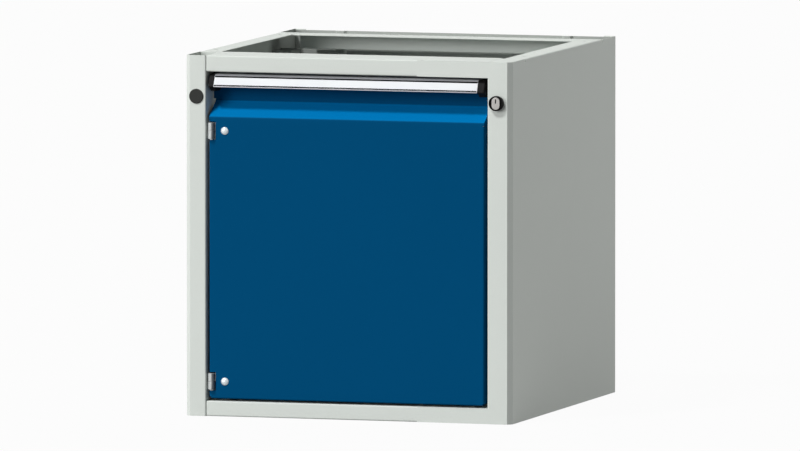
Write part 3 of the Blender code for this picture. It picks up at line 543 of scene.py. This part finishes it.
def soften(piece, width):
    """Round the sharp edges and smooth the bends."""
    only(piece)
    bevel = piece.modifiers.new("edges", "BEVEL")
    bevel.width = width
    bevel.segments = EDGE_SEGMENTS
    bevel.angle_limit = SHARP
    bevel.loop_slide = False
    bpy.ops.object.modifier_apply(modifier=bevel.name)
    bpy.ops.object.shade_smooth_by_angle(angle=SHARP)
    normals = piece.modifiers.new("normals", "WEIGHTED_NORMAL")
    normals.keep_sharp = True
    bpy.ops.object.modifier_apply(modifier=normals.name)


for node, piece in copies.items():
    soften(piece, EDGE_OF_SLOT[SLOT_OF[node]])
    print(piece.name, len(piece.data.polygons), "faces")

# %% [markdown]
# ## Lines beside the label
#
# The label lies in a channel of the grip, and a thin dark line runs along its upper and its lower edge, where
# the channel lies in shade. A groove could be cut into the grip, but it would be only about two millimetres
# wide and just its shadow would show. So a slim dark strip of painted shade lies on each edge and gives the
# same line from every side. It starts as a cube, is brought to size, leaned back in edit mode where the
# grip's face leans, and then loses its sharp edges.


# %% Blocks to start from
def block(name, low, high):
    """A box between two corners, with its place in its mesh, left in edit mode."""
    low = Vector(low)
    high = Vector(high)
    bpy.ops.object.select_all(action="DESELECT")
    bpy.ops.mesh.primitive_cube_add(size=1)
    piece = bpy.context.object
    piece.name = name
    bpy.ops.object.mode_set(mode="EDIT")
    bpy.ops.transform.resize(value=high - low)
    bpy.ops.transform.translate(value=(low + high) / 2)
    return piece


def pick(piece, wanted):
    """Select the points that are wanted, and go on in edit mode."""
    bpy.ops.mesh.select_all(action="DESELECT")
    bpy.ops.object.mode_set(mode="OBJECT")
    for point in piece.data.vertices:
        point.select = wanted(point.co)
    bpy.ops.object.mode_set(mode="EDIT")


def fit(piece, body, finish, edge):
    """Give a new piece its body, its finish and its soft edges."""
    bpy.ops.object.mode_set(mode="OBJECT")
    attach(piece, body)
    piece.data.materials.append(finish)
    soften(piece, edge)
    print(piece.name, [round(MM * side, 2) for side in piece.dimensions], "mm")


label_low, label_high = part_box("label_strip")
grip_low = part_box("handle_profile")[0]
print("label:", round(MM * (label_high.x - label_low.x)), "mm long")

# %% Painted shade lines on the grip
SHADE_LINE_DEPTH = 0.0004
SHADE_LINE_EDGE = 0.00008
LOWER_SHADE_LINE = (0.5401, 0.5426)
UPPER_SHADE_LINE = (0.5543, 0.5565)
BROW_FRONT = -0.2895
GRIP_SLOPE = 0.5
BROW_SLOPE = 0.0


def painted_shade_line(name, front, heights, slope):
    """A slim dark bar of painted shade along the label, between two heights, whose top leans back by the
    slope.
    """
    bottom, top = heights
    piece = block(
        name,
        (label_low.x, front - SHADE_LINE_DEPTH / 2, bottom),
        (label_high.x, front + SHADE_LINE_DEPTH / 2, top),
    )
    pick(piece, lambda point: point.z > (bottom + top) / 2)
    bpy.ops.transform.translate(value=(0, slope * (top - bottom), 0))
    fit(piece, "door", painted_shade_black, SHADE_LINE_EDGE)


# Both bars are painted shade, where the channel's edges lie in shade.
painted_shade_line("label_shade_line_lower", grip_low.y, LOWER_SHADE_LINE, GRIP_SLOPE)
painted_shade_line("label_shade_line_upper", BROW_FRONT, UPPER_SHADE_LINE, BROW_SLOPE)

# %% [markdown]
# ## Keyway
#
# The lock's face has a slit for the key. The slit is in the solid, but its floor is the same bright nickel as
# the face. In a real lock the slit goes on deep into the core and lies in shade. A second finish on the floor
# of the slit could paint that shade, and so does a small dark insert of painted shade, which needs no choice
# of faces.

# %% Painted shade in the keyway
LOCK_X = 0.2525
LOCK_Z = 0.5265
KEYWAY_FRONT = -0.3026
KEYWAY_FLOOR = -0.3021
KEYWAY_HALF_WIDTH = 0.00085
KEYWAY_HALF_HEIGHT = 0.0034

# The dark insert is painted shade, for the deep slit.
slit_shade = block(
    "slit_painted_shade",
    (LOCK_X - KEYWAY_HALF_WIDTH, KEYWAY_FRONT, LOCK_Z - KEYWAY_HALF_HEIGHT),
    (LOCK_X + KEYWAY_HALF_WIDTH, KEYWAY_FLOOR, LOCK_Z + KEYWAY_HALF_HEIGHT),
)
fit(slit_shade, "lock", painted_shade_black, SHADE_LINE_EDGE)

# %% [markdown]
# ## Dressed welds
#
# The rails stand a little behind the face of the uprights. In the photograph a fine joint shows there on the
# left and none on the right, which is taken here for a weld that was filled, ground and painted. The rail's
# end could be bent forward instead, but the rail stays where the CAD node is. Each filling starts as a block
# in the corner, and the edge that is away from the upright is pressed back to the face of the rail, which
# leaves a long flat wedge.

# %% Filled joints on the right
WELD_RUN = 0.12
WELD_LAP = 0.0026
WELD_PROUD = 0.00003
WELD_TOE = 0.00005
WELD_EDGE = 0.00002
RAIL_FACE = 0.0265

upright_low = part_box("right_side_panel")[0]
top_rail_low, top_rail_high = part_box("top_front_rail")
bottom_rail_low, bottom_rail_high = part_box("bottom_front_rail")
rail_front = top_rail_low.y
weld_start = upright_low.x - WELD_RUN
weld_middle = upright_low.x - WELD_RUN / 2
weld_front = upright_low.y - WELD_PROUD
weld_heights = {
    "top": (top_rail_high.z - RAIL_FACE, top_rail_high.z),
    "bottom": (bottom_rail_low.z, bottom_rail_high.z),
}
for rail, (lowest, highest) in weld_heights.items():
    weld = block(
        f"dressed_weld_{rail}",
        (weld_start, weld_front, lowest),
        (upright_low.x + WELD_LAP, rail_front + WELD_TOE, highest),
    )
    pick(weld, lambda point: point.x < weld_middle and point.y < rail_front - WELD_TOE)
    bpy.ops.transform.translate(value=(0, rail_front - WELD_TOE - weld_front, 0))
    fit(weld, "housing", grey_coat, WELD_EDGE)

# %% [markdown]
# ## Studio
#
# One big soft lamp would be simpler, but it would light the gaps and the inside as much as the front. So a
# strong light from the upper left draws the edge of the handle's shadow on the ramp. A tall fill on the left
# keeps the front pale and reaches in over the rim, where the rear rail shades itself from it. A low one on
# the right, no higher than the rim, shapes the side and leaves the inside dark, and a weak, very wide sun
# behind the cabinet serves the views from the back.

# %% Sun lamps
SUN_DISTANCE = 3


def sun(name, travel, strength, width):
    """A sun whose light travels in this direction and which looks this many degrees wide."""
    travel = Vector(travel).normalized()
    bpy.ops.object.light_add(type="SUN", location=-SUN_DISTANCE * travel)
    lamp = bpy.context.object
    lamp.name = name
    lamp.rotation_euler = travel.to_track_quat("-Z", "Y").to_euler()
    lamp.data.energy = strength
    lamp.data.angle = math.radians(width)
    print(name, strength, "watts per square metre")


sun("key", travel=(0.305, 0.508, -0.806), strength=2.2, width=9)
sun("back_light", travel=(0.40, -0.85, -0.35), strength=1.3, width=110)


# %% Lit panels
def lit_panel(name, azimuth, elevation, distance, size, aim_height, strength):
    """A large flat lamp far away, which is as strong on the cabinet as a sun of that strength."""
    away = direction(azimuth, elevation)
    bpy.ops.object.light_add(type="AREA", location=Vector((0, 0, aim_height)) + away * distance)
    lamp = bpy.context.object
    lamp.name = name
    lamp.rotation_euler = away.to_track_quat("Z", "Y").to_euler()
    lamp.data.shape = "RECTANGLE"
    lamp.data.size, lamp.data.size_y = size
    lamp.data.energy = strength * math.pi * distance**2
    print(name, round(lamp.data.energy), "watts")


lit_panel(
    "front_fill",
    azimuth=-35,
    elevation=14,
    distance=12,
    size=(6, 4.4),
    aim_height=0.45,
    strength=1.68,
)
lit_panel(
    "side_light",
    azimuth=125,
    elevation=0,
    distance=9,
    size=(3, 0.5),
    aim_height=0.28,
    strength=0.86,
)

# %% [markdown]
# ## World and floor
#
# The photograph's background is white. A bright world and a white floor would give that, but they would fill
# every gap with light too. So both are white only where they are seen, by the camera or in metal and glass.
# For all other rays the world is dim and the floor is grey, so the gaps and the inside stay dark. A little of
# the floor's own shading is left in what the camera sees, which keeps the cabinet's shadow.

# %% World
WORLD_LIGHT = 0.15

scene = bpy.context.scene
scene.view_settings.view_transform = "Standard"
scene.world = bpy.data.worlds.new("studio")
scene.world.use_nodes = True
sky = Network(scene.world.node_tree)
backdrop = sky.tree.nodes["Background"]
backdrop.inputs["Color"].default_value = (1, 1, 1, 1)
level = sky.node("MapRange", {}, {"Value": sky.in_sight(), "To Min": WORLD_LIGHT})
sky.feed(backdrop.inputs["Strength"], level)
print("world light:", WORLD_LIGHT)

# %% Floor
FLOOR_SIZE = 24
FLOOR_HEIGHT = -0.0005
FLOOR_GREY = (0.25, 0.25, 0.25, 1)
FLOOR_WHITE = 0.96

bpy.ops.object.select_all(action="DESELECT")
bpy.ops.mesh.primitive_plane_add(size=FLOOR_SIZE, location=(0, 0, FLOOR_HEIGHT))
floor = bpy.context.object
floor.name = "studio_floor"
floor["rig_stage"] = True
paper = Finish("pale_floor")
paper.set(Base_Color=FLOOR_GREY, Roughness=0.9)
matt = Wire(paper, paper.shader.outputs[0])
glow = paper.node("Emission", {}, {"Strength": 1.0})
surface = paper.node("MixShader", {}, {0: paper.in_sight() * FLOOR_WHITE, 1: matt, 2: glow})
paper.feed(paper.tree.nodes["Material Output"].inputs["Surface"], surface)
floor.data.materials.append(paper.material)
print("floor:", floor.name)

# %% [markdown]
# ## Sizes
#
# The finished cabinet has to be as large as the CAD model. Both boxes are printed so that they can be
# compared.

# %% Sizes
boxes = {"cad": cad_box, "visual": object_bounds()}
for name, box in boxes.items():
    print(name, [round(MM * (high - low), 1) for low, high in zip(*box)], "mm")
